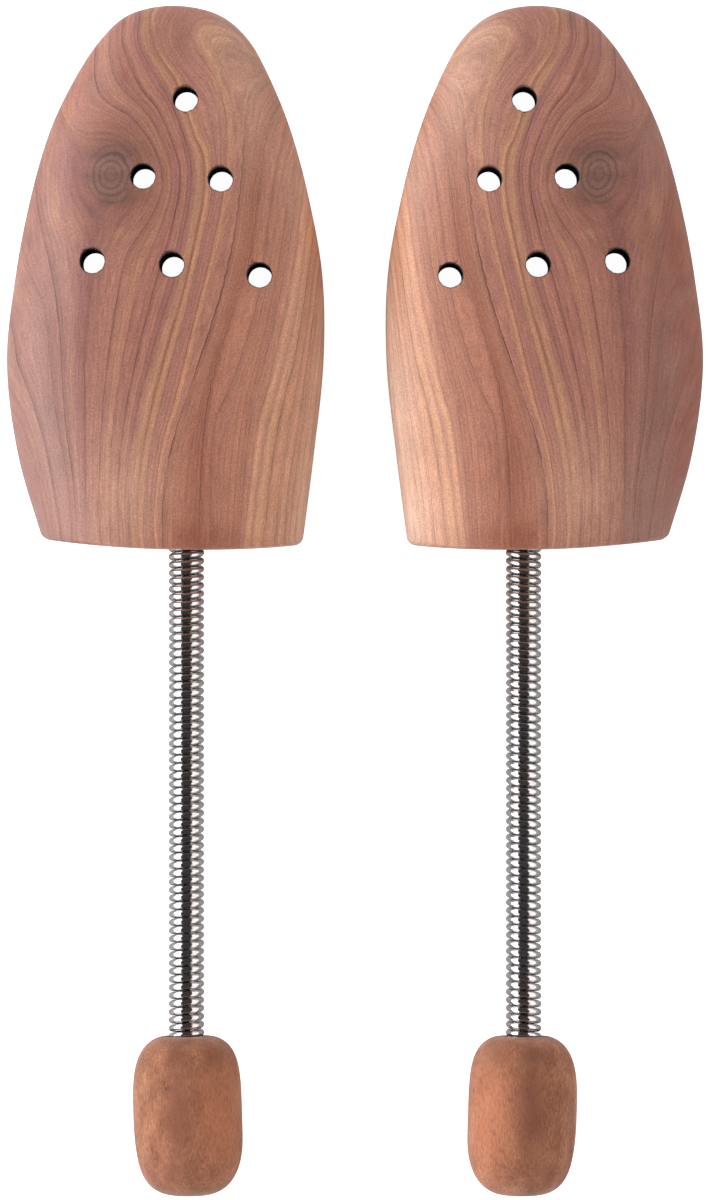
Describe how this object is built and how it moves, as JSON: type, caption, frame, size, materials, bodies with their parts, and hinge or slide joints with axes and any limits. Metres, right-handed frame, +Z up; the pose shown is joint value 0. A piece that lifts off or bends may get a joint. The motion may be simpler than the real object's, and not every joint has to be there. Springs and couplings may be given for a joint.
{
  "type": "shoe tree",
  "caption": "Pair of cedar shoe trees: vented last-shaped toe block, coil spring and barrel-shaped heel knob, mirrored left and right.",
  "frame": {"origin": "on the surface that the pair lies on, in the middle of the pair's outline, with the mirror plane of the two trees at X = 0", "axes": "+Y from the heel knobs towards the toes, +X from the left tree towards the right tree, +Z up from the flat soles"},
  "size_m": [0.184, 0.3154, 0.044],
  "materials": {
    "block_cedar": "fine-sanded aromatic red cedar, unfinished",
    "knob_cedar": "turned and tumbled red cedar, matte and slightly fuzzy",
    "plug_wood": "plain hardwood dowel",
    "spring_chrome": "bright nickel-chrome plated spring wire",
    "brad_steel": "bright drawn steel"
  },
  "bodies": {
    "left_toe_end": {"left_toe_block": "block_cedar", "left_toe_plug": "plug_wood", "left_toe_brad": "brad_steel"},
    "left_coil": {"left_spring": "spring_chrome"},
    "left_heel_end": {"left_heel_knob": "knob_cedar", "left_heel_plug": "plug_wood", "left_heel_brad": "brad_steel"},
    "right_toe_end": {"right_toe_block": "block_cedar", "right_toe_plug": "plug_wood", "right_toe_brad": "brad_steel"},
    "right_coil": {"right_spring": "spring_chrome"},
    "right_heel_end": {"right_heel_knob": "knob_cedar", "right_heel_plug": "plug_wood", "right_heel_brad": "brad_steel"}
  },
  "joints": [
    {"name": "left_spring_bend", "type": "hinge", "parent": "left_toe_end", "child": "left_coil", "pos_m": [-0.0446, -0.0167, 0.0144], "axis": [-1, 0, 0], "range_deg": [0, 90], "stiffness_Nm_per_rad": 0.05, "deforming": ["left_spring"]},
    {"name": "left_spring_press", "type": "slide", "parent": "left_coil", "child": "left_heel_end", "axis": [0, 1, 0], "range_m": [0, 0.015], "stiffness_N_per_m": 2200, "deforming": ["left_spring"]},
    {"name": "right_tree_lift", "type": "slide", "parent": "left_toe_end", "child": "right_toe_end", "axis": [0, 0, 1], "range_m": [0, 0.06]},
    {"name": "right_spring_bend", "type": "hinge", "parent": "right_toe_end", "child": "right_coil", "pos_m": [0.0446, -0.0167, 0.0144], "axis": [-1, 0, 0], "range_deg": [0, 90], "stiffness_Nm_per_rad": 0.05, "deforming": ["right_spring"]},
    {"name": "right_spring_press", "type": "slide", "parent": "right_coil", "child": "right_heel_end", "axis": [0, 1, 0], "range_m": [0, 0.015], "stiffness_N_per_m": 2200, "deforming": ["right_spring"]}
  ]
}
